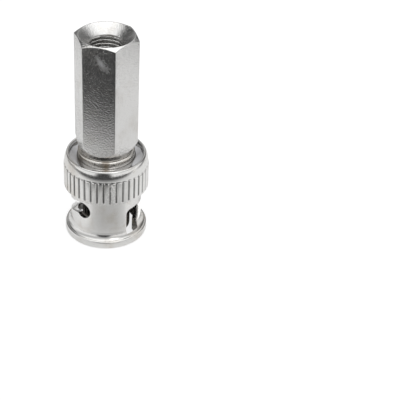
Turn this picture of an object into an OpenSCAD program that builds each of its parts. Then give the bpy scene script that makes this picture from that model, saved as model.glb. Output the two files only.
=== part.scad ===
// Twist-on bayonet coaxial plug, standing on its mating end.
// Millimetres. Z = 0 is the mating face, +Z runs along the axis towards the cable entry.
// Angles round the axis are counted from -Y towards +X.

/* [Overall] */
// Height from the mating face to the cable entry
total_h = 37.5; // [36.5:0.1:42]

/* [Coupling nut] */
// Diameter of the flange at the mating end
flange_d = 14.08; // [13.9:0.02:14.4]
// Height of the straight rim of the flange
flange_rim_h = 1.1; // [0.8:0.05:1.2]
// Radius of the rounded upper corner of the flange
flange_round = 0.28; // [0.1:0.02:0.3]
// Overhang of the flange over the neck, on the radius
flange_step = 0.99; // [0.8:0.01:1.1]
// Wall of the neck round the bore for the mating socket
neck_wall = 1.1; // [1.0:0.02:1.2]
// Radius of the hollow fillet between flange and neck
cove_r = 1.7; // [1.4:0.05:1.9]
// Height at which the fillet starts
cove_z = 1.4; // [1.3:0.05:1.6]
// Land between the flange's rounded corner and the fillet
flange_land = 0.1; // [0.05:0.01:0.2]
// Diameter of the knurled grip
grip_d = 14.5; // [14.3:0.05:15.5]
// Height of the lower edge of the grip
grip_z = 9.05; // [8.6:0.05:9.2]
// Wall of the grip round the springs
grip_wall = 1.0; // [0.9:0.02:1.1]
// Height of the washer's upper face above the grip
rim_lead = 1.6; // [1.0:0.05:1.8]
// Chamfer of the lower edge of the grip
grip_chamfer = 0.25; // [0.1:0.05:0.4]
// Number of grooves in the grip
grooves = 41; // [30:1:44]
// Angle of the first groove round the axis
groove_turn = -3.65; // [-4.5:0.05:4.5]
// Depth of a groove
groove_depth = 0.22; // [0.1:0.02:0.3]
// Width of a groove at the surface
groove_w = 0.36; // [0.2:0.02:0.45]
// Height of the lower end of the grooves
groove_z = 9.5; // [9.4:0.05:9.8]
// Height of the slope between the grip and the rolled rim
rim_slope_h = 0.38; // [0.3:0.02:0.45]
// Depth and height of the fine step at the foot of the rolled rim
rim_step_h = 0.06; // [0.04:0.01:0.1]
// Set-back of the rolled rim inside the grip, on the radius
rim_step = 0.32; // [0.25:0.01:0.4]
// Width of the rolled rim from its side to its inner edge
rim_w = 0.6; // [0.5:0.02:0.9]
// Height of the rolled rim above the washer
rim_rise = 0.55; // [0.5:0.01:0.9]
// Radius of the rim's inner edge
rim_lip = 0.22; // [0.15:0.01:0.3]
// Broken edge of turned pieces
edge = 0.12; // [0.08:0.01:0.16]
// Chamfer at the mouth of the bore
mouth_chamfer = 0.75; // [0.3:0.05:0.9]

/* [Bayonet slots] */
// Number of slots
slots = 2; // [2:1:2]
// Diameter of the stud that runs in a slot
stud_d = 1.98; // [1.9:0.02:2.06]
// Play of the stud between the walls of the ramp
stud_play = 0.16; // [0.08:0.02:0.3]
// Play of the stud between the walls of the entry
entry_play = 0.76; // [0.3:0.02:0.9]
// Diameter of the round hole where the stud locks
lock_d = 3.0; // [2.6:0.05:3.1]
// Height of the centre of the lock hole
lock_z = 6.36; // [6.0:0.02:6.5]
// Height of the top of the entry
entry_top_z = 6.6; // [6.4:0.05:6.7]
// Height of the top of the mouth, where the entry opens into the ramp
mouth_top_z = 6.3; // [6.1:0.05:6.35]
// Height of the middle of the ramp
ramp_z = 5.15; // [4.9:0.05:5.3]
// Tilt of the ramp
ramp_tilt = 20; // [19:0.2:22]
// Angle of the entry round the axis
entry_angle = 48; // [0:1:90]
// Quarter turn that the stud makes from the entry to the lock hole
lock_turn = 91; // [88:1:94]
// Angle from the entry to the middle of the ramp
ramp_half = 42; // [40:1:44]
// Angle that the mouth goes past the middle of the ramp
mouth_over = 5; // [4:1:8]
// Angle from the end of the ramp to the middle of the lock hole
lock_lead = 5; // [4:1:7]
// Reach of the slots beyond the neck, on the radius
slot_reach = 0.25; // [0.15:0.01:0.35]

/* [Washers] */
// Thickness of the washer under the rolled rim
washer_t = 0.55; // [0.4:0.05:0.7]
// Height of the upper face of that washer
washer_top_z = 15.0; // [14.9:0.02:15.1]
// Width of the step that carries that washer
washer_seat = 0.25; // [0.15:0.01:0.3]
// Width of the washer's ring
washer_w = 1.55; // [1.4:0.01:1.7]
// Thickness of the slip washer below it
slip_t = 0.6; // [0.4:0.05:0.7]
// Height of each wave spring at rest
spring_h = 1.3; // [1.1:0.05:1.4]
// Thickness of the spring strip
spring_t = 0.25; // [0.15:0.01:0.3]
// Waves round each spring
spring_waves = 3; // [2:1:4]

/* [Front shell] */
// Width of the shoulder between nose and ferrule
shoulder_w = 0.75; // [0.7:0.01:0.8]
// Wall of the slotted ferrule
ferrule_wall = 0.55; // [0.45:0.01:0.6]
// Set-back of the ferrule's tip behind the mating face
ferrule_z = 0.8; // [0.5:0.05:1.0]
// Rounding of the ferrule's tip
ferrule_round = 0.2; // [0.1:0.02:0.25]
// Number of slots in the ferrule
ferrule_slots = 6; // [4:1:8]
// Width of a slot in the ferrule
ferrule_slot_w = 0.3; // [0.2:0.02:0.4]
// Height of the closed end of those slots
ferrule_slot_z = 6.8; // [5:0.1:8]
// Length of the nose between the shoulder and the shell's flange
nose_l = 0.4; // [0.3:0.02:0.6]
// Thickness of the shell's flange
shell_flange_t = 1.0; // [0.8:0.05:1.1]
// Height of the top of the collar
collar_top_z = 16.2; // [15.8:0.05:16.4]
// Rounding of the collar's edge
collar_round = 0.35; // [0.1:0.05:0.45]
// Set-back of the waist inside the collar, on the radius
waist_step = 0.5; // [0.4:0.02:0.6]
// Set-back of the spigot inside the waist, on the radius
spigot_step = 0.35; // [0.25:0.01:0.45]
// Length of the spigot
spigot_l = 3.2; // [2.5:0.1:4]

/* [Gasket] */
// Thickness of the gasket
gasket_t = 0.9; // [0.7:0.05:1.1]

/* [Insulator and pin] */
// Set-back of the insulator behind the mating face
insulator_z = 0.95; // [0.9:0.05:1.2]
// Wall of the insulator round its front cavity
insulator_wall = 1.075; // [1.0:0.01:1.15]
// Thickness of the insulator behind its front cavity
insulator_end_t = 2.05; // [1.8:0.05:2.4]
// Distance from the gasket's shoulder down to the step where the insulator ends
insulator_drop = 0.4; // [0.3:0.02:0.6]
// Length of the rear insulator bead
bead_l = 3.4; // [2.5:0.1:4]
// Diameter of the contact pin
pin_d = 1.35; // [1.32:0.01:1.37]
// Set-back of the pin's tip behind the mating face
pin_z = 1.3; // [1.1:0.05:1.6]
// Length of the taper at the pin's tip
pin_taper_l = 0.6; // [0.4:0.05:0.8]
// Diameter of the pin's body
pin_body_d = 2.1; // [1.9:0.02:2.3]
// Diameter of the pin's cable socket
pin_socket_d = 0.95; // [0.8:0.02:1.1]
// Depth of the pin's cable socket
pin_socket_l = 4.2; // [3:0.1:5]
// Length of the pin behind the rear insulator
pin_tail_l = 1.2; // [0.8:0.1:2]

/* [Hex body] */
// Width across the flats
hex_af = 9.46; // [9.3:0.02:9.6]
// Angle of one corner of the hexagon round the axis
hex_angle = 14.8; // [0:0.2:60]
// Height of the lower end of the hex body
hex_z = 17.1; // [17.0:0.05:17.6]
// Length of the taper at the lower end
taper_l = 1.2; // [0.9:0.05:2.2]
// Height of the chamfer at the upper end
crown_h = 0.5; // [0.3:0.02:0.7]
// Diameter of the jacket thread at its crests
thread_d = 5.44; // [5.2:0.02:5.8]
// Diameter of the countersink at the cable entry
sink_d = 9.05; // [8.6:0.05:9.1]
// Slope of the countersink's wall
sink_slope = 38; // [34:1:45]

/* [Clearances] */
// Running clearance on the radius
run_gap = 0.1; // [0.05:0.01:0.12]
// Gap between a washer and the wall beside it
washer_gap = 0.05; // [0.02:0.01:0.08]
// Gap between the two springs, and round the gasket
soft_gap = 0.05; // [0.03:0.01:0.08]

/* [Hidden] */
fn = 96;
over = 1;
skim = 0.01;

// Radii of the nut and of what turns in it
flange_r = flange_d / 2;
neck_r = flange_r - flange_step;
socket_r = neck_r - neck_wall;
slot_outer_r = neck_r + slot_reach;
grip_r = grip_d / 2;
rim_r = grip_r - rim_step;
head_bore_r = grip_r - grip_wall;
stack_r = head_bore_r - run_gap;
washer_r = head_bore_r + washer_seat;
washer_pocket_r = washer_r + washer_gap;
washer_bore_r = washer_r - washer_w;

// Heights of the stack inside the nut, from the washer down
grip_top_z = washer_top_z - rim_lead;
washer_z = washer_top_z - washer_t;
slip_z = washer_z - slip_t;
stack_z = slip_z - 2 * spring_h - soft_gap;
flange_seat_z = stack_z - shell_flange_t;
shoulder_z = flange_seat_z - nose_l;
insulator_seat_z = shoulder_z - insulator_drop;
cavity_end_z = insulator_seat_z - insulator_end_t;

// Rolled rim: a shoulder that curves inwards over the washer's edge
rim_foot_z = grip_top_z + rim_slope_h + rim_step_h;
rim_top_z = washer_top_z + rim_rise;
lip_r = rim_r - rim_w;

// Bayonet path, seen from the cable end, cut between two radii inside and outside the wall
near_r = socket_r / 2;
far_r = 2 * flange_r;
ramp_gap = stud_d + stud_play;
entry_w = stud_d + entry_play;
ramp_mid = entry_angle + ramp_half;
ramp_to = entry_angle + lock_turn - lock_lead;
mouth_to = ramp_mid + mouth_over;

// Radii and heights of the shell, the insulators and the pin
nose_r = socket_r - run_gap;
ferrule_r = nose_r - shoulder_w;
ferrule_bore_r = ferrule_r - ferrule_wall;
cavity_r = ferrule_bore_r - insulator_wall;
collar_r = washer_bore_r - run_gap;
waist_r = collar_r - waist_step;
spigot_r = waist_r - spigot_step;
spigot_top_z = hex_z + spigot_l;
pin_body_r = pin_body_d / 2;
rear_bore_r = (ferrule_bore_r + pin_body_r) / 2;
rear_end_z = insulator_seat_z + bead_l;
pin_end_z = rear_end_z + pin_tail_l;

// Radii of the hex body
hex_r = hex_af / 2 / cos(30);
hex_end_r = hex_af / 2 - 2 * skim;
thread_r = thread_d / 2;
sink_r = sink_d / 2;

// Points of an arc round (cx, cy), from angle a to angle b in n steps
function arc(cx, cy, r, a, b, n) =
    [for (i = [0:n]) [cx + r * cos(a + (b - a) * i / n), cy + r * sin(a + (b - a) * i / n)]];

// A body of revolution with the given outline of radius and height
module turned(outline) {
    rotate_extrude($fn = fn) polygon(outline);
}

// A plain ring
module ring(r_out, r_in, z, h) {
    difference() {
        translate([0, 0, z]) cylinder(r = r_out, h = h, $fn = fn);
        translate([0, 0, z - over]) cylinder(r = r_in, h = h + 2 * over, $fn = fn);
    }
}

// Turns a shape that points along +X to an angle counted from -Y towards +X
module at_angle(a) {
    rotate([0, 0, a - 90]) children();
}

// A wedge of space between two angles and two heights
module wedge(a, b, z0, z1) {
    translate([0, 0, z0]) linear_extrude(z1 - z0)
        polygon(concat([[near_r * sin(b), -near_r * cos(b)], [near_r * sin(a), -near_r * cos(a)]],
            [for (i = [0:4]) let (t = a + (b - a) * i / 4) [far_r * sin(t), -far_r * cos(t)]]));
}

// Space between two planes that rise with the ramp, at two distances from its middle
module ramp_slab(low, high) {
    at_angle(ramp_mid) translate([0, 0, ramp_z]) rotate([ramp_tilt, 0, 0])
        translate([0, -far_r, low]) cube([far_r, 2 * far_r, high - low]);
}

// One bayonet path: entry from the mating end, mouth, ramp and lock hole
module bayonet_path() {
    corner = entry_w / 3;
    at_angle(entry_angle) rotate([90, 0, 90]) translate([0, 0, near_r]) linear_extrude(flange_r)
        polygon(concat([[entry_w / 2, entry_top_z], [entry_w / 2, -over], [-entry_w / 2, -over]],
            [for (q = arc(corner - entry_w / 2, entry_top_z - corner, corner, 180, 90, 6)) q]));
    intersection() {
        ramp_slab(0, 2 * stud_d);
        wedge(entry_angle, mouth_to, 0, mouth_top_z);
    }
    intersection() {
        ramp_slab(-ramp_gap / 2, ramp_gap / 2);
        wedge(entry_angle, ramp_to, 0, grip_z);
    }
    at_angle(entry_angle + lock_turn) translate([near_r, 0, lock_z]) rotate([0, 90, 0])
        cylinder(d = lock_d, h = flange_r, $fn = fn / 2);
}

// Straight groove of the grip, with sloping sides
module grip_groove() {
    linear_extrude(grip_top_z + over - groove_z)
        polygon([[grip_r - groove_depth, -groove_w / 6], [grip_r - groove_depth, groove_w / 6],
                 [grip_r + groove_depth, groove_w], [grip_r + groove_depth, -groove_w]]);
}

// Nut with inner step, socket bore, knurled grip and rim rolled over the washer
module coupling_nut() {
    cove = arc(neck_r + cove_r, cove_z + cove_rise(), cove_r, 180, 180 + cove_sweep(), 10);
    color([0.80, 0.80, 0.79]) difference() {
        turned(concat(
            [[socket_r, mouth_chamfer], [socket_r + mouth_chamfer, 0]],
            [[flange_r - edge, 0], [flange_r, edge]],
            arc(flange_r - flange_round, flange_rim_h, flange_round, 0, 80, 6),
            [for (i = [len(cove) - 1:-1:0]) cove[i]],
            [[neck_r, grip_z], [grip_r - grip_chamfer, grip_z], [grip_r, grip_z + grip_chamfer]],
            [[grip_r, grip_top_z], [rim_r, rim_foot_z - rim_step_h], [rim_r - rim_step_h, rim_foot_z]],
            [for (i = [1:9]) rim_curl(i * 10)],
            arc(lip_r + rim_lip, rim_top_z - rim_lip, rim_lip, 90, 180, 5),
            [[lip_r, washer_top_z], [washer_pocket_r, washer_top_z], [washer_pocket_r, washer_z]],
            [[head_bore_r, washer_z], [head_bore_r, flange_seat_z], [socket_r, flange_seat_z]]));
        for (k = [0:grooves - 1])
            at_angle(groove_turn + k * 360 / grooves) translate([0, 0, groove_z]) grip_groove();
        intersection() {
            translate([0, 0, -over]) cylinder(r = slot_outer_r, h = grip_z + over, $fn = fn);
            for (k = [0:slots - 1]) rotate([0, 0, k * 360 / slots]) bayonet_path();
        }
    }
}

// Point of the rolled rim's shoulder, from its foot at 0 to its top at 90
function rim_curl(t) =
    [rim_r - (rim_w - rim_lip) * (1 - cos(t)), rim_foot_z + (rim_top_z - rim_foot_z) * sin(t)];

// Sweep of the fillet that ends at the flange's land, and its height
function cove_sweep() = acos((cove_r - (flange_r - flange_round - flange_land - neck_r)) / cove_r);
function cove_rise() = cove_r * sin(cove_sweep());

// Washer held under the rolled rim; it turns with the nut
module retaining_washer() {
    color([0.62, 0.63, 0.65]) ring(washer_r, washer_bore_r, washer_z, washer_t);
}

// Washer on which the nut turns; it slides with the nut and compresses the springs
module slip_washer() {
    color([0.70, 0.70, 0.71]) ring(stack_r, washer_bore_r, slip_z, slip_t);
}

// Wavy ring of spring strip between two heights, turned by phase
module wave_spring(z, phase) {
    steps = 72;
    mid = z + spring_h / 2;
    swing = (spring_h - spring_t) / 2;
    ring_points = [for (i = [0:steps - 1])
        let (t = i * 360 / steps, c = mid + swing * sin(spring_waves * t + phase))
        each [for (q = [[washer_bore_r, -1], [stack_r, -1], [stack_r, 1], [washer_bore_r, 1]])
            [q[0] * cos(t), q[0] * sin(t), c + q[1] * spring_t / 2]]];
    ring_faces = [for (i = [0:steps - 1]) let (j = (i + 1) % steps)
        each [for (k = [0:3]) let (m = (k + 1) % 4)
            each [[4 * i + k, 4 * i + m, 4 * j + k], [4 * i + m, 4 * j + m, 4 * j + k]]]];
    polyhedron(points = ring_points, faces = ring_faces);
}

module wave_spring_rear() {
    color([0.55, 0.56, 0.58]) wave_spring(stack_z + spring_h + soft_gap, 180);
}

module wave_spring_front() {
    color([0.55, 0.56, 0.58]) wave_spring(stack_z, 0);
}

// Turned shell: slotted ferrule, gasket shoulder, flange, collar, waist and pressed spigot
module front_shell() {
    lead = (spigot_r - rear_bore_r) / 5;
    color([0.80, 0.80, 0.78]) difference() {
        turned(concat(
            [[ferrule_bore_r, ferrule_z + edge], [ferrule_bore_r + edge, ferrule_z]],
            arc(ferrule_r - ferrule_round, ferrule_z + ferrule_round, ferrule_round, -90, 0, 4),
            [[ferrule_r, shoulder_z], [nose_r, shoulder_z], [nose_r, flange_seat_z]],
            [[stack_r, flange_seat_z], [stack_r, stack_z], [collar_r, stack_z]],
            arc(collar_r - collar_round, collar_top_z - collar_round, collar_round, 0, 90, 6),
            [[waist_r, collar_top_z], [waist_r, hex_z], [spigot_r, hex_z]],
            [[spigot_r, spigot_top_z - lead], [spigot_r - lead, spigot_top_z]],
            [[rear_bore_r + lead, spigot_top_z], [rear_bore_r, spigot_top_z - lead]],
            [[rear_bore_r, insulator_seat_z], [ferrule_bore_r, insulator_seat_z]]));
        for (k = [0:ferrule_slots - 1])
            at_angle(k * 360 / ferrule_slots) translate([0, -ferrule_slot_w / 2, ferrule_z - over])
                cube([ferrule_r + over, ferrule_slot_w, ferrule_slot_z - ferrule_z + over]);
    }
}

// Rubber ring against which the mating socket seals
module gasket() {
    color([0.16, 0.15, 0.15])
        ring(nose_r - soft_gap, ferrule_r + soft_gap, shoulder_z - gasket_t, gasket_t);
}

// White plastic insulator with the cavity for the mating insulator
module insulator() {
    color([0.94, 0.94, 0.91]) turned([
        [cavity_r, insulator_z], [ferrule_bore_r, insulator_z], [ferrule_bore_r, insulator_seat_z],
        [pin_body_r, insulator_seat_z], [pin_body_r, cavity_end_z], [cavity_r, cavity_end_z]]);
}

// Bead that centres the rear of the pin in the shell
module rear_insulator() {
    color([0.94, 0.94, 0.91]) ring(rear_bore_r, pin_body_r, insulator_seat_z, bead_l);
}

// Pin with a tapered tip and a slotted socket for the cable's conductor
module centre_pin() {
    color([0.83, 0.62, 0.28]) difference() {
        turned([
            [0, pin_z], [pin_d / 4, pin_z], [pin_d / 2, pin_z + pin_taper_l], [pin_d / 2, cavity_end_z],
            [pin_body_r, cavity_end_z], [pin_body_r, pin_end_z - edge], [pin_body_r - edge, pin_end_z],
            [0, pin_end_z]]);
        translate([0, 0, pin_end_z - pin_socket_l])
            cylinder(d = pin_socket_d, h = pin_socket_l + over, $fn = fn / 2);
        translate([-pin_body_d, -pin_socket_d / 6, rear_end_z + edge])
            cube([2 * pin_body_d, pin_socket_d / 3, pin_tail_l + over]);
    }
}

// Hexagonal body with tapered foot, chamfered crown, press bore and jacket bore
module hex_body() {
    crown_r = hex_r - crown_h * tan(60);
    sink_depth = (sink_r - thread_r) * tan(sink_slope);
    color([0.80, 0.80, 0.79]) difference() {
        intersection() {
            at_angle(hex_angle) translate([0, 0, hex_z]) cylinder(r = hex_r, h = total_h - hex_z, $fn = 6);
            turned([[0, hex_z], [hex_end_r, hex_z], [hex_r + skim, hex_z + taper_l],
                    [hex_r + skim, total_h - crown_h], [crown_r, total_h], [0, total_h]]);
        }
        turned([[0, hex_z - over], [spigot_r, hex_z - over], [spigot_r, spigot_top_z],
                [thread_r, spigot_top_z], [thread_r, total_h - sink_depth],
                [sink_r, total_h], [sink_r, total_h + over], [0, total_h + over]]);
    }
}

coupling_nut();
retaining_washer();
slip_washer();
wave_spring_rear();
wave_spring_front();
front_shell();
gasket();
insulator();
rear_insulator();
centre_pin();
hex_body();
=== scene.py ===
import math

import bmesh
import bpy
from mathutils import Matrix, Vector


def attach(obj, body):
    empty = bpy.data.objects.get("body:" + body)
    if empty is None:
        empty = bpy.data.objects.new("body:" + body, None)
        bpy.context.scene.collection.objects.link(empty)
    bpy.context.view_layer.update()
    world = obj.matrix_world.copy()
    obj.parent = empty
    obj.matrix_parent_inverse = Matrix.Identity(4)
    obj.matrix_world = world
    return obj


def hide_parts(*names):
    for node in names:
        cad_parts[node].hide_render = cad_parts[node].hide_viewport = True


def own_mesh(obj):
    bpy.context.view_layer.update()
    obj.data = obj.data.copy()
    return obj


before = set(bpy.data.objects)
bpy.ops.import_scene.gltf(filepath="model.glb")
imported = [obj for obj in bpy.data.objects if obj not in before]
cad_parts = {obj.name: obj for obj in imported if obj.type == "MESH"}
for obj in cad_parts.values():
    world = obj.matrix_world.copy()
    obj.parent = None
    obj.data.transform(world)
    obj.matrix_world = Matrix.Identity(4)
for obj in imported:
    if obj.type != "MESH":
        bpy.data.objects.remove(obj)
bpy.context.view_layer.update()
MM = 0.001


# Front shell
# The turned inner body of the plug, nickel plated brass. Its collar and waist show above the nut and its
# slotted ferrule grips the socket at the mating end. The hex body is pressed on its rear spigot.

merge_distance = 0.000002
flat_within = 0.003
sharp_corner = 0.45


def softened_copy(node, width, segments=2):
    """Copy of a machined node with its triangles merged and its sharp edges broken by width."""
    bm = bmesh.new()
    bm.from_mesh(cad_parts[node].data)
    bmesh.ops.remove_doubles(bm, verts=bm.verts, dist=merge_distance)
    bmesh.ops.dissolve_limit(bm, angle_limit=flat_within, verts=bm.verts, edges=bm.edges,
                             use_dissolve_boundaries=False)
    sharp = [e for e in bm.edges if e.is_manifold and e.calc_face_angle(0) > sharp_corner]
    bmesh.ops.bevel(bm, geom=sharp, offset=width, offset_type="OFFSET", segments=segments,
                    profile=0.5, affect="EDGES", material=-1, clamp_overlap=False)
    return bm


def finished_piece(bm, name, material, body, slot, *nodes, smooth=0.6):
    """Makes the mesh a piece that rides on a body, is finished in one material and stands for its nodes."""
    mesh = bpy.data.meshes.new(name)
    bm.to_mesh(mesh)
    bm.free()
    mesh.shade_smooth()
    mesh.set_sharp_from_angle(angle=smooth)
    mesh.materials.append(material)
    piece = bpy.data.objects.new(name, mesh)
    bpy.context.scene.collection.objects.link(piece)
    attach(piece, body)
    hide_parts(*nodes)
    return piece


def new_group(name, inputs, outputs):
    """An empty shader node group with named inputs (kind, default) and outputs (kind)."""
    group = bpy.data.node_groups.new(name, "ShaderNodeTree")
    for label, (kind, value) in inputs.items():
        socket = group.interface.new_socket(label, in_out="INPUT", socket_type="NodeSocket" + kind)
        socket.default_value = value
    for label, kind in outputs.items():
        group.interface.new_socket(label, in_out="OUTPUT", socket_type="NodeSocket" + kind)
    return group, group.nodes.new("NodeGroupInput"), group.nodes.new("NodeGroupOutput")


def add_node(tree, kind, values=None, links=None, **settings):
    """Adds a shader node, sets its properties and socket values, and links its inputs."""
    made = tree.nodes.new("ShaderNode" + kind)
    for key, value in settings.items():
        setattr(made, key, value)
    for key, value in (values or {}).items():
        made.inputs[key].default_value = value
    for key, source in (links or {}).items():
        tree.links.new(source, made.inputs[key])
    return made


def add_ramp(tree, source, stops):
    """A colour ramp through the given (position, grey) stops."""
    made = add_node(tree, "ValToRGB", links={"Fac": source})
    ramp = made.color_ramp
    while len(ramp.elements) < len(stops):
        ramp.elements.new(0.5)
    for element, (place, grey) in zip(ramp.elements, stops):
        element.position = place
        element.color = (grey, grey, grey, 1)
    return made.outputs["Color"]


def add_math(tree, operation, a, b, clamp=False):
    """A math node whose inputs are sockets or numbers."""
    made = add_node(tree, "Math", operation=operation, use_clamp=clamp)
    for index, value in enumerate((a, b)):
        if isinstance(value, (int, float)):
            made.inputs[index].default_value = value
        else:
            tree.links.new(value, made.inputs[index])
    return made.outputs[0]


# Wear of the plating: fine grain, hairline scratches and warm, dull stains.
wear_tree, wear_in, wear_out = new_group(
    "plating wear",
    {"Bright": ("Color", (0.8, 0.8, 0.8, 1)), "Stain": ("Color", (0.5, 0.42, 0.33, 1)),
     "Stain Amount": ("Float", 0.5), "Grain Scale": ("Float", 6000.0), "Scratches": ("Float", 0.3),
     "Gloss": ("Float", 0.2)},
    {"Colour": "Color", "Roughness": "Float", "Height": "Float"})
wear_place = add_node(wear_tree, "TexCoord").outputs["Object"]
cloud = add_node(wear_tree, "TexNoise", {"Scale": 260.0, "Detail": 6.0, "Roughness": 0.62},
                 {"Vector": wear_place})
patch = add_ramp(wear_tree, cloud.outputs["Fac"], [(0.50, 0.0), (0.66, 1.0)])
specks = add_node(wear_tree, "TexNoise", {"Scale": 2600.0, "Detail": 3.0, "Roughness": 0.6},
                  {"Vector": wear_place})
speck = add_ramp(wear_tree, specks.outputs["Fac"], [(0.60, 0.0), (0.72, 1.0)])
stained = add_math(wear_tree, "MAXIMUM", patch, add_math(wear_tree, "MULTIPLY", speck, 0.5))
dirt = add_math(wear_tree, "MULTIPLY", stained, wear_in.outputs["Stain Amount"], clamp=True)
tarnish = add_node(wear_tree, "Mix", data_type="RGBA", links={
    "Factor": dirt, "A": wear_in.outputs["Bright"], "B": wear_in.outputs["Stain"]})
wear_tree.links.new(tarnish.outputs["Result"], wear_out.inputs["Colour"])
grain = add_node(wear_tree, "TexNoise", {"Detail": 1.5, "Roughness": 0.5},
                 {"Vector": wear_place, "Scale": wear_in.outputs["Grain Scale"]})
hairlines = []
for lie in ((0.3, 0.2, 0.5), (1.2, 0.7, 2.1)):
    drawn = add_node(wear_tree, "Mapping", {"Rotation": lie, "Scale": (1.0, 9.0, 1.0)},
                     {"Vector": wear_place})
    strands = add_node(wear_tree, "TexNoise", {"Scale": 260.0, "Detail": 1.0, "Roughness": 0.4},
                       {"Vector": drawn.outputs[0]})
    hairlines.append(add_ramp(wear_tree, strands.outputs["Fac"], [(0.485, 0.0), (0.5, 1.0), (0.515, 0.0)]))
scratched = add_math(wear_tree, "MAXIMUM", *hairlines)
relief = add_math(wear_tree, "SUBTRACT", add_math(wear_tree, "MULTIPLY", grain.outputs["Fac"], 0.6),
                  add_math(wear_tree, "MULTIPLY", scratched, wear_in.outputs["Scratches"]))
wear_tree.links.new(relief, wear_out.inputs["Height"])
dulled = add_math(wear_tree, "ADD", add_math(wear_tree, "MULTIPLY", dirt, 0.22),
                  add_math(wear_tree, "MULTIPLY", scratched, 0.05))
wear_tree.links.new(add_math(wear_tree, "ADD", wear_in.outputs["Gloss"], dulled, clamp=True),
                    wear_out.inputs["Roughness"])

# Marks of the turning tool: fine rings at right angles to the axis.
marks_tree, marks_in, marks_out = new_group(
    "turning marks", {"Rings per metre": ("Float", 8000.0)}, {"Height": "Float"})
marks_place = add_node(marks_tree, "TexCoord").outputs["Object"]
round_axis = add_node(marks_tree, "Mapping", {"Scale": (0.02, 0.02, 1.0)}, {"Vector": marks_place})
feed = add_node(marks_tree, "TexNoise", {"Detail": 3.0, "Roughness": 0.6},
                {"Vector": round_axis.outputs[0], "Scale": marks_in.outputs["Rings per metre"]})
marks_tree.links.new(feed.outputs["Fac"], marks_out.inputs["Height"])

# A smear with ragged edges round one place on the piece. It is turned, and sized along each axis.
smear_tree, smear_in, smear_out = new_group(
    "smear",
    {"Centre": ("Vector", (0, 0, 0)), "Turn": ("Vector", (0, 0, 0)),
     "Per metre": ("Vector", (500, 500, 500))},
    {"Mask": "Float"})
smear_place = add_node(smear_tree, "TexCoord").outputs["Object"]
from_centre = add_node(smear_tree, "VectorMath", operation="SUBTRACT")
smear_tree.links.new(smear_place, from_centre.inputs[0])
smear_tree.links.new(smear_in.outputs["Centre"], from_centre.inputs[1])
leaning = add_node(smear_tree, "VectorRotate", rotation_type="EULER_XYZ",
                   links={"Vector": from_centre.outputs[0], "Rotation": smear_in.outputs["Turn"]})
sized = add_node(smear_tree, "VectorMath", operation="MULTIPLY")
smear_tree.links.new(leaning.outputs[0], sized.inputs[0])
smear_tree.links.new(smear_in.outputs["Per metre"], sized.inputs[1])
reach = add_node(smear_tree, "VectorMath", operation="LENGTH", links={"Vector": sized.outputs[0]})
ragged = add_node(smear_tree, "TexNoise", {"Scale": 1400.0, "Detail": 4.0, "Roughness": 0.65},
                  {"Vector": smear_place})
torn = add_math(smear_tree, "ADD", reach.outputs["Value"],
                add_math(smear_tree, "MULTIPLY", ragged.outputs["Fac"], 0.9))
smear_tree.links.new(add_ramp(smear_tree, torn, [(0.45, 1.0), (1.0, 0.0)]), smear_out.inputs["Mask"])

# Painted shade: darkening between two radii and two heights, where shade falls in grooves, corners and
# bores.
band_tree, band_in, band_out = new_group(
    "recess shade band",
    {"Inner radius": ("Float", 0.001), "Outer radius": ("Float", 0.002), "Low": ("Float", 0.0),
     "High": ("Float", 0.01), "Soft": ("Float", 0.0001), "Amount": ("Float", 1.0)},
    {"Mask": "Float"})
band_place = add_node(band_tree, "TexCoord").outputs["Object"]
across = add_node(band_tree, "Mapping", {"Scale": (1.0, 1.0, 0.0)}, {"Vector": band_place})
outward = add_node(band_tree, "VectorMath", operation="LENGTH", links={"Vector": across.outputs[0]})
radius = outward.outputs["Value"]
level = add_node(band_tree, "SeparateXYZ", links={"Vector": band_place}).outputs["Z"]
patchy = add_node(band_tree, "TexNoise", {"Scale": 1800.0, "Detail": 3.0}, {"Vector": band_place})
shade_in_band = add_math(band_tree, "MULTIPLY", band_in.outputs["Amount"],
                    add_ramp(band_tree, patchy.outputs["Fac"], [(0.3, 0.75), (0.6, 1.0)]))
for high, low in ((radius, band_in.outputs["Inner radius"]), (band_in.outputs["Outer radius"], radius),
                  (level, band_in.outputs["Low"]), (band_in.outputs["High"], level)):
    within = add_math(band_tree, "DIVIDE", add_math(band_tree, "SUBTRACT", high, low),
                      band_in.outputs["Soft"], clamp=True)
    shade_in_band = add_math(band_tree, "MULTIPLY", shade_in_band, within)
band_tree.links.new(shade_in_band, band_out.inputs["Mask"])


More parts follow.
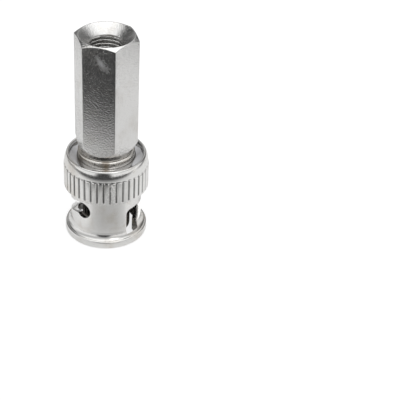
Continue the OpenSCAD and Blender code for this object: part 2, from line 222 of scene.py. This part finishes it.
def plated_metal(name, bright, stain, stain_amount, gloss, rings, rings_depth, grain_depth, grain=6000.0,
                 scratches=0.3, smears=()):
    """Plated or polished metal with wear, the marks of the turning tool and some smears."""
    made = bpy.data.materials.new(name)
    made.use_nodes = True
    tree = made.node_tree
    shader = tree.nodes["Principled BSDF"]
    shader.inputs["Metallic"].default_value = 1.0
    wear = add_node(tree, "Group", node_tree=wear_tree)
    for label, value in (("Bright", (*bright, 1)), ("Stain", (*stain, 1)), ("Stain Amount", stain_amount),
                         ("Grain Scale", grain), ("Scratches", scratches), ("Gloss", gloss)):
        wear.inputs[label].default_value = value
    marks = add_node(tree, "Group", node_tree=marks_tree)
    marks.inputs["Rings per metre"].default_value = rings
    colour, rough = wear.outputs["Colour"], wear.outputs["Roughness"]
    for centre, turn, per_metre, tint, dulling in smears:
        spot = add_node(tree, "Group", {"Centre": centre, "Turn": turn, "Per metre": per_metre},
                        node_tree=smear_tree)
        rough = add_math(tree, "ADD", rough, add_math(tree, "MULTIPLY", spot.outputs["Mask"], dulling))
        colour = tinted(tree, colour, spot.outputs["Mask"], tint)
    tree.links.new(colour, shader.inputs["Base Color"])
    tree.links.new(rough, shader.inputs["Roughness"])
    grainy = add_node(tree, "Bump", {"Strength": 1.0, "Distance": grain_depth},
                      {"Height": wear.outputs["Height"]})
    ringed = add_node(tree, "Bump", {"Strength": 1.0, "Distance": rings_depth},
                      {"Height": marks.outputs["Height"], "Normal": grainy.outputs["Normal"]})
    tree.links.new(ringed.outputs["Normal"], shader.inputs["Normal"])
    return made


def tinted(tree, colour, mask, tint):
    """The colour changed to the tint where the mask is."""
    mixed = add_node(tree, "Mix", {"B": (*tint, 1)}, {"Factor": mask, "A": colour}, data_type="RGBA")
    return mixed.outputs["Result"]


def dented(material, centre, per_metre, depth):
    """Adds a patch of small dents to a metal."""
    tree = material.node_tree
    shader = tree.nodes["Principled BSDF"]
    area = add_node(tree, "Group", {"Centre": centre, "Per metre": per_metre}, node_tree=smear_tree)
    lumps = add_node(tree, "TexNoise", {"Scale": 2600.0, "Detail": 1.0},
                     {"Vector": add_node(tree, "TexCoord").outputs["Object"]})
    dents = add_math(tree, "MULTIPLY", area.outputs["Mask"], lumps.outputs["Fac"])
    before = shader.inputs["Normal"].links[0].from_socket
    bump = add_node(tree, "Bump", {"Strength": 1.0, "Distance": depth}, {"Height": dents, "Normal": before})
    tree.links.new(bump.outputs["Normal"], shader.inputs["Normal"])


# Painted shade in recesses, laid into the colour as dark bands.
def paint_recess_shade(material, tint, bands):
    """Paints shade onto a metal in dark bands. A band has two radii, two heights and a soft edge in mm, and
    an amount.
    """
    tree = material.node_tree
    shader = tree.nodes["Principled BSDF"]
    colour = shader.inputs["Base Color"].links[0].from_socket
    for inner, outer, low, high, soft, amount in bands:
        band = add_node(tree, "Group", {"Inner radius": inner * MM, "Outer radius": outer * MM,
                                        "Low": low * MM, "High": high * MM, "Soft": soft * MM,
                                        "Amount": amount}, node_tree=band_tree)
        colour = tinted(tree, colour, band.outputs["Mask"], tint)
    tree.links.new(colour, shader.inputs["Base Color"])


shell_nickel = plated_metal("nickel of the shell", (0.86, 0.84, 0.80), (0.60, 0.49, 0.36), 0.45, 0.26,
                            rings=9000.0, rings_depth=0.0000035, grain_depth=0.0000012,
                            smears=[((-0.2 * MM, -4.8 * MM, 15.7 * MM), (0, 0, 0), (620, 400, 600),
                                     (0.34, 0.26, 0.17), 0.2)])
# Painted shade: the shell's bore, the ferrule and the waist under the hexagon's foot are darkened as if in
# shadow.
paint_recess_shade(shell_nickel, (0.09, 0.08, 0.075),
      [(1.0, 3.9, 2.4, 9.6, 0.2, 0.8), (3.8, 4.5, 3.4, 9.6, 0.3, 0.97), (4.0, 4.6, 16.2, 17.3, 0.1, 0.7)])
finished_piece(softened_copy("front_shell", 0.05 * MM), "shell", shell_nickel, "root", "nickel_body",
               "front_shell")


# Gasket
# A flat black rubber ring on the shoulder of the shell, which the mating socket presses on.
# Moulded, with soft edges and a dull skin.

gasket_rubber = bpy.data.materials.new("gasket rubber")
gasket_rubber.use_nodes = True
rubber_tree = gasket_rubber.node_tree
rubber_shader = rubber_tree.nodes["Principled BSDF"]
rubber_place = add_node(rubber_tree, "TexCoord").outputs["Object"]
bloom = add_node(rubber_tree, "TexNoise", {"Scale": 900.0, "Detail": 5.0, "Roughness": 0.6},
                 {"Vector": rubber_place})
skin = add_node(rubber_tree, "ValToRGB", links={"Fac": bloom.outputs["Fac"]})
skin.color_ramp.elements[0].color = (0.018, 0.017, 0.016, 1)
skin.color_ramp.elements[1].color = (0.060, 0.057, 0.052, 1)
rubber_tree.links.new(skin.outputs["Color"], rubber_shader.inputs["Base Color"])
rubber_tree.links.new(add_ramp(rubber_tree, bloom.outputs["Fac"], [(0.3, 0.55), (0.7, 0.75)]),
                      rubber_shader.inputs["Roughness"])
pores = add_node(rubber_tree, "TexNoise", {"Scale": 7000.0, "Detail": 2.0}, {"Vector": rubber_place})
pitted = add_node(rubber_tree, "Bump", {"Distance": 0.000004}, {"Height": pores.outputs["Fac"]})
rubber_tree.links.new(pitted.outputs[0], rubber_shader.inputs["Normal"])
finished_piece(softened_copy("gasket", 0.12 * MM, segments=3), "seal_ring", gasket_rubber, "root",
               "gasket_rubber", "gasket")


# Insulators
# The white plastic front insulator, turned with the cavity that the socket's insulator enters, and the bead
# that centres the rear of the pin. Both are pushed into the shell. Their edges are softly rounded.

insulator_plastic = bpy.data.materials.new("insulator plastic")
insulator_plastic.use_nodes = True
plastic_tree = insulator_plastic.node_tree
plastic_shader = plastic_tree.nodes["Principled BSDF"]
plastic_shader.inputs["Subsurface Weight"].default_value = 0.25
plastic_shader.inputs["Subsurface Scale"].default_value = 0.0006
clouding = add_node(plastic_tree, "TexNoise", {"Scale": 500.0, "Detail": 4.0},
                    {"Vector": add_node(plastic_tree, "TexCoord").outputs["Object"]})
white = add_node(plastic_tree, "ValToRGB", links={"Fac": clouding.outputs["Fac"]})
white.color_ramp.elements[0].color = (0.80, 0.79, 0.75, 1)
white.color_ramp.elements[1].color = (0.90, 0.89, 0.87, 1)
plastic_tree.links.new(white.outputs["Color"], plastic_shader.inputs["Base Color"])
plastic_tree.links.new(add_ramp(plastic_tree, clouding.outputs["Fac"], [(0.3, 0.38), (0.7, 0.55)]),
                       plastic_shader.inputs["Roughness"])
cut_marks = add_node(plastic_tree, "Group", {"Rings per metre": 7000.0}, node_tree=marks_tree)
grooved = add_node(plastic_tree, "Bump", {"Distance": 0.000004}, {"Height": cut_marks.outputs["Height"]})
plastic_tree.links.new(grooved.outputs[0], plastic_shader.inputs["Normal"])
finished_piece(softened_copy("insulator", 0.2 * MM, segments=3), "front_insulator", insulator_plastic,
               "root", "insulator_white", "insulator")
finished_piece(softened_copy("rear_insulator", 0.1 * MM, segments=3), "rear_bead", insulator_plastic, "root",
               "insulator_white", "rear_insulator")


# Contact pin
# A gold plated brass pin with a rounded tip. Its rear is drilled and slotted for the cable's conductor.
# It is held between the two insulators.

contact_gold = plated_metal("gold of the pin", (0.94, 0.66, 0.26), (0.72, 0.46, 0.16), 0.35, 0.18,
                            rings=9000.0, rings_depth=0.0000015, grain_depth=0.0000008)
finished_piece(softened_copy("centre_pin", 0.04 * MM), "pin", contact_gold, "root", "contact_gold",
               "centre_pin")


# Wave springs
# Two wavy rings of steel strip between the shell's flange and the slip washer. They are pressed flat as the
# nut moves forward and pull it back once the studs have locked.

spring_inner = 4.95 * MM
spring_outer = 6.15 * MM
spring_strip = 0.25 * MM
spring_height = 1.3 * MM
spring_foot = 11.2 * MM
spring_gap = 0.05 * MM
spring_waves = 3
spring_steel = plated_metal("steel of the springs", (0.56, 0.56, 0.57), (0.34, 0.29, 0.24), 0.4, 0.28,
                            rings=5000.0, rings_depth=0.000001, grain_depth=0.000002)


def wave_spring(name, foot, phase, node):
    """Flat ring of strip, spun round the axis and bent into waves."""
    bm = bmesh.new()
    corners = [bm.verts.new((r, 0, z)) for r, z in
               ((spring_inner, 0), (spring_outer, 0), (spring_outer, spring_strip),
                (spring_inner, spring_strip))]
    section = [bm.edges.new((corners[i], corners[(i + 1) % 4])) for i in range(4)]
    bmesh.ops.spin(bm, geom=corners + section, cent=(0, 0, 0), axis=(0, 0, 1), angle=math.tau, steps=144,
                   use_merge=True)
    bmesh.ops.remove_doubles(bm, verts=bm.verts, dist=merge_distance)
    bmesh.ops.recalc_face_normals(bm, faces=bm.faces)
    swing = (spring_height - spring_strip) / 2
    for v in bm.verts:
        v.co.z += foot + swing + swing * math.sin(spring_waves * math.atan2(v.co.y, v.co.x) + phase)
    brims = [e for e in bm.edges if e.calc_face_angle(0) > sharp_corner]
    bmesh.ops.bevel(bm, geom=brims, offset=0.04 * MM, segments=2, profile=0.5, affect="EDGES", material=-1)
    piece = finished_piece(bm, name, spring_steel, "root", "spring_steel", node)
    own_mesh(piece)


wave_spring("front_spring", spring_foot, 0, "wave_spring_front")
wave_spring("rear_spring", spring_foot + spring_height + spring_gap, math.pi, "wave_spring_rear")


# Washers
# Two flat steel rings, punched and polished. The slip washer carries the nut on the springs, and the
# retaining washer lies on it, caught under the rim that is rolled over its edge.

washer_steel = plated_metal("steel of the washers", (0.62, 0.62, 0.63), (0.36, 0.32, 0.27), 0.25, 0.12,
                            rings=3000.0, rings_depth=0.0000005, grain_depth=0.0000008)
finished_piece(softened_copy("slip_washer", 0.04 * MM), "slip_ring", washer_steel, "slip", "washer_steel",
               "slip_washer")
finished_piece(softened_copy("retaining_washer", 0.06 * MM), "rim_washer", washer_steel, "nut",
               "washer_steel", "retaining_washer")


# Coupling nut
# One turned and milled piece of nickel plated brass: flange, hollow fillet, neck with the two bayonet slots,
# knurled grip, and the rim that is rolled over the washer. It turns and slides on the shell.

nut_nickel = plated_metal("nickel of the nut", (0.83, 0.825, 0.81), (0.52, 0.45, 0.36), 0.35, 0.17,
                          rings=9000.0, rings_depth=0.0000045, grain_depth=0.0000012)
# Painted shade: the knurl's grooves, the nut's inner wall and the wall of the lock hole are darkened as if
# in shadow.
paint_recess_shade(nut_nickel, (0.11, 0.105, 0.105),
      [(6.9, 7.19, 9.45, 13.5, 0.06, 0.38), (2.0, 5.3, 4.4, 12.0, 0.25, 0.85),
       (4.9, 6.02, 5.2, 7.9, 0.1, 0.75)])
dented(nut_nickel, (0.85 * MM, -7.2 * MM, 11.3 * MM), (700, 500, 250), depth=0.0008)

# Rolling leaves a full, leaning shoulder: a long curve from the grip and a short one into the rim's top.
shoulder_foot = 13.76 * MM
shoulder_reach = 6.5 * MM
long_curve = 3.3 * MM
long_centre = Vector((3.83 * MM, 13.9 * MM))
short_curve = 0.33 * MM
short_centre = Vector((6.48 * MM, 15.25 * MM))
curves_meet = 15.4 * MM
nut_body = softened_copy("coupling_nut", 0.035 * MM)
for v in nut_body.verts:
    distance = math.hypot(v.co.x, v.co.y)
    if v.co.z > shoulder_foot and distance > shoulder_reach:
        curve, centre = (long_curve, long_centre) if v.co.z < curves_meet else (short_curve, short_centre)
        swollen = centre.x + math.sqrt(max(0, curve ** 2 - (v.co.z - centre.y) ** 2))
        v.co.x *= swollen / distance
        v.co.y *= swollen / distance
finished_piece(nut_body, "nut", nut_nickel, "nut", "nickel_nut", "coupling_nut")


# Hex body
# The hexagonal cable end, milled from bar and nickel plated. The cable's jacket is screwed into its thread,
# which is cut from the countersink down to the shell's spigot.

thread_crest = 2.72 * MM
thread_depth = 0.33 * MM
thread_pitch = 0.66 * MM
thread_low = 20.3 * MM
thread_top = 36.03 * MM
off_the_wall = 0.02 * MM
off_the_floor = 0.1 * MM


def jacket_tap():
    """Closed screw that cuts the jacket thread: one turn's outline is spun up the axis."""
    steps = 40
    spare_turns = 4
    turns = math.ceil((thread_top - thread_low) / thread_pitch) + spare_turns
    start = thread_low - spare_turns / 2 * thread_pitch
    core = thread_crest - off_the_wall
    root = thread_crest + thread_depth
    bm = bmesh.new()
    outline = [(core, 0.0), (core, 0.16), (root, 0.50), (root, 0.58), (core, 0.92), (core, 1.0)]
    points = [bm.verts.new((r, 0, start + part * thread_pitch)) for r, part in outline]
    edges = [bm.edges.new(pair) for pair in zip(points, points[1:])]
    bmesh.ops.spin(bm, geom=points + edges, cent=(0, 0, 0), axis=(0, 0, 1), angle=math.tau * turns,
                   dvec=(0, 0, thread_pitch / steps), steps=steps * turns, use_merge=False)
    bmesh.ops.remove_doubles(bm, verts=bm.verts, dist=merge_distance)
    for trim, up in ((thread_low + off_the_floor, -1), (thread_top, 1)):
        bmesh.ops.bisect_plane(bm, geom=bm.verts[:] + bm.edges[:] + bm.faces[:], dist=0.0000001,
                               plane_co=(0, 0, trim), plane_no=(0, 0, up), clear_outer=True)
        mouth = [e for e in bm.edges if e.is_boundary and all(abs(v.co.z - trim) < 0.00001 for v in e.verts)]
        bmesh.ops.triangle_fill(bm, edges=mouth, use_beauty=True)
    bmesh.ops.recalc_face_normals(bm, faces=bm.faces)
    return bm


def cut_by(bm, tool):
    """The mesh with the tool's shape taken out of it."""
    held = []
    for label, source in (("blank", bm), ("tool", tool)):
        mesh = bpy.data.meshes.new(label)
        source.to_mesh(mesh)
        source.free()
        held.append(bpy.data.objects.new(label, mesh))
        bpy.context.scene.collection.objects.link(held[-1])
    cut = held[0].modifiers.new("thread", "BOOLEAN")
    cut.operation = "DIFFERENCE"
    cut.solver = "EXACT"
    cut.object = held[1]
    bpy.context.view_layer.update()
    result = bmesh.new()
    result.from_object(held[0], bpy.context.evaluated_depsgraph_get())
    for piece in held:
        bpy.data.objects.remove(piece)
    return result


hex_nickel = plated_metal("nickel of the hex body", (0.74, 0.735, 0.725), (0.50, 0.46, 0.40), 0.25, 0.17,
                          rings=2600.0, rings_depth=0.000001, grain_depth=0.00009, grain=4600.0,
                          scratches=0.05,
                          smears=[((-0.7 * MM, -4.7 * MM, 34.6 * MM), (0, -0.9, 0), (260, 300, 620),
                                   (0.74, 0.74, 0.75), 0.35)])
finished_piece(cut_by(softened_copy("hex_body", 0.07 * MM, segments=3), jacket_tap()), "hexagon", hex_nickel,
               "root", "nickel_body", "hex_body", smooth=0.36)


# Studio
# A plain pale floor, which the plug reflects darker towards the camera, a surround with darker cards before
# and behind, a broad soft lamp overhead and a smaller one in front. None of this is part of the plug.

floor_radius = 0.7
shading_reach = 0.125
floor_glow = 0.78


def along(tree, vector, direction):
    """How far a vector reaches in a direction."""
    made = add_node(tree, "VectorMath", operation="DOT_PRODUCT")
    tree.links.new(vector, made.inputs[0])
    made.inputs[1].default_value = direction
    return made.outputs["Value"]


floor_bm = bmesh.new()
bmesh.ops.create_circle(floor_bm, cap_ends=True, segments=64, radius=floor_radius)
floor_mesh = bpy.data.meshes.new("floor")
floor_bm.to_mesh(floor_mesh)
floor_bm.free()
floor = bpy.data.objects.new("floor", floor_mesh)
bpy.context.scene.collection.objects.link(floor)
floor_paint = bpy.data.materials.new("floor paint")
floor_paint.use_nodes = True
floor_tree = floor_paint.node_tree
floor_shader = floor_tree.nodes["Principled BSDF"]
floor_shader.inputs["Roughness"].default_value = 0.9
floor_shader.inputs["Specular IOR Level"].default_value = 0.1
floor_shader.inputs["Emission Color"].default_value = (1, 1, 1, 1)
seen = add_node(floor_tree, "LightPath").outputs["Is Camera Ray"]
floor_place = add_node(floor_tree, "TexCoord").outputs["Object"]
# Painted shade on the floor, which only the plug's reflections see: darker towards the camera, a painted
# shadow in front of the plug, and darker far behind it. Close round the plug the floor is kept lighter, as
# painted light against the plug's own shadow.
nearer = along(floor_tree, floor_place, (-1.7, -9.85, 0.0))
distant = add_node(floor_tree, "VectorMath", operation="LENGTH", links={"Vector": floor_place})
away = add_math(floor_tree, "DIVIDE", distant.outputs["Value"], shading_reach)
heading = add_node(floor_tree, "VectorMath", operation="NORMALIZE", links={"Vector": floor_place})
front = along(floor_tree, heading.outputs[0], (0.12, -0.99, 0.0))
painted_front_shade = add_math(floor_tree, "MULTIPLY", add_ramp(floor_tree, front, [(0.45, 0.0), (0.95, 0.42)]),
                   add_ramp(floor_tree, away, [(0.06, 0.0), (0.09, 1.0), (0.14, 1.0), (0.20, 0.6)]))
far_back = add_math(floor_tree, "MULTIPLY", add_ramp(floor_tree, front, [(0.0, 0.8), (0.3, 0.0)]),
                    add_ramp(floor_tree, away, [(0.70, 0.0), (0.85, 1.0)]))
floor_shade = add_ramp(floor_tree, nearer, [(0.225, 1.0), (0.337, 0.46), (0.431, 0.20), (0.534, 0.07)])
for part_left in (add_ramp(floor_tree, away, [(0.07, 1.0), (0.16, 0.97), (0.26, 0.92), (0.90, 1.0)]),
                  add_math(floor_tree, "SUBTRACT", 1.0, painted_front_shade),
                  add_math(floor_tree, "SUBTRACT", 1.0, far_back)):
    floor_shade = add_math(floor_tree, "MULTIPLY", floor_shade, part_left)
floor_tree.links.new(tinted(floor_tree, floor_shade, seen, (0.32, 0.32, 0.32)),
                     floor_shader.inputs["Base Color"])
floor_tree.links.new(add_math(floor_tree, "MULTIPLY", seen, floor_glow),
                     floor_shader.inputs["Emission Strength"])
floor.data.materials.append(floor_paint)

surround = bpy.data.worlds.new("surround")
bpy.context.scene.world = surround
surround.use_nodes = True
sky_tree = surround.node_tree
sky = sky_tree.nodes["Background"]
toward = add_node(sky_tree, "TexCoord").outputs["Generated"]
bearing = add_node(sky_tree, "SeparateXYZ", links={"Vector": toward})
front_dome = add_ramp(sky_tree, bearing.outputs["Z"],
                      [(0.0, 1.0), (0.25, 0.85), (0.50, 0.40), (0.76, 1.05), (1.0, 1.4)])
back_dome = add_ramp(sky_tree, bearing.outputs["Z"],
                     [(0.0, 0.26), (0.33, 0.30), (0.52, 0.52), (0.78, 0.95), (1.0, 1.4)])
behind = add_ramp(sky_tree, bearing.outputs["Y"], [(0.25, 0.0), (0.60, 1.0)])
dome = add_node(sky_tree, "Mix", links={"Factor": behind, "A": front_dome, "B": back_dome}, data_type="RGBA")
sky_shade = dome.outputs["Result"]
for direction, full_from, grey in (((-0.12, -0.99, 0.05), 0.965, 0.05), ((-0.60, 0.50, 0.62), 0.96, 0.10),
                                   ((0.76, 0.58, 0.30), 0.96, 0.35)):
    card = add_ramp(sky_tree, along(sky_tree, toward, direction), [(0.90, 1.0), (full_from, grey)])
    sky_shade = add_math(sky_tree, "MULTIPLY", sky_shade, card)
camera_ray = add_node(sky_tree, "LightPath").outputs["Is Camera Ray"]
sky_tree.links.new(tinted(sky_tree, sky_shade, camera_ray, (1, 1, 1)), sky.inputs["Color"])
sky.inputs["Strength"].default_value = 1.0

lamp_aim = Vector((0, 0, 0.018))


def soft_lamp(name, place, size, watts):
    """Square soft lamp that faces the middle of the plug."""
    light = bpy.data.lights.new(name, "AREA")
    light.shape = "SQUARE"
    light.size = size
    light.energy = watts
    lamp = bpy.data.objects.new(name, light)
    lamp.location = place
    lamp.rotation_euler = (lamp_aim - Vector(place)).to_track_quat("-Z", "Y").to_euler()
    bpy.context.scene.collection.objects.link(lamp)


soft_lamp("overhead lamp", (0.03, 0.05, 0.30), size=0.22, watts=0.06)
soft_lamp("front lamp", (0.10, -0.21, 0.22), size=0.10, watts=0.038)

# The camera stands where the photograph was taken from, fitted to the flange, grip and hexagon.
photo_pixels = 400
film_width = 36
focal_pixels = 1190.68
camera_distance = 201.70 * MM
camera_rise = math.radians(32.448)
aim_height = 17.0 * MM
swing_x, swing_y, camera_roll = 0.0787, 0.047, 0.0064
to_camera = Vector((0, -math.cos(camera_rise), math.sin(camera_rise)))
upright = Matrix(((1, 0, 0), (-to_camera).cross(Vector((1, 0, 0))), -to_camera))
facing = (Matrix.Rotation(camera_roll, 3, "Z") @ Matrix.Rotation(swing_y, 3, "X")
          @ Matrix.Rotation(-swing_x, 3, "Y") @ upright)
lens = bpy.data.cameras.new("camera")
lens.sensor_width = film_width
lens.lens = focal_pixels / photo_pixels * film_width
lens.clip_start = 0.01
camera = bpy.data.objects.new("camera", lens)
camera.matrix_world = (Matrix.Translation(Vector((0, 0, aim_height)) + to_camera * camera_distance)
                       @ Matrix((facing[0], -facing[1], -facing[2])).transposed().to_4x4())
bpy.context.scene.collection.objects.link(camera)
bpy.context.scene.camera = camera
bpy.context.scene.view_settings.view_transform = "Standard"
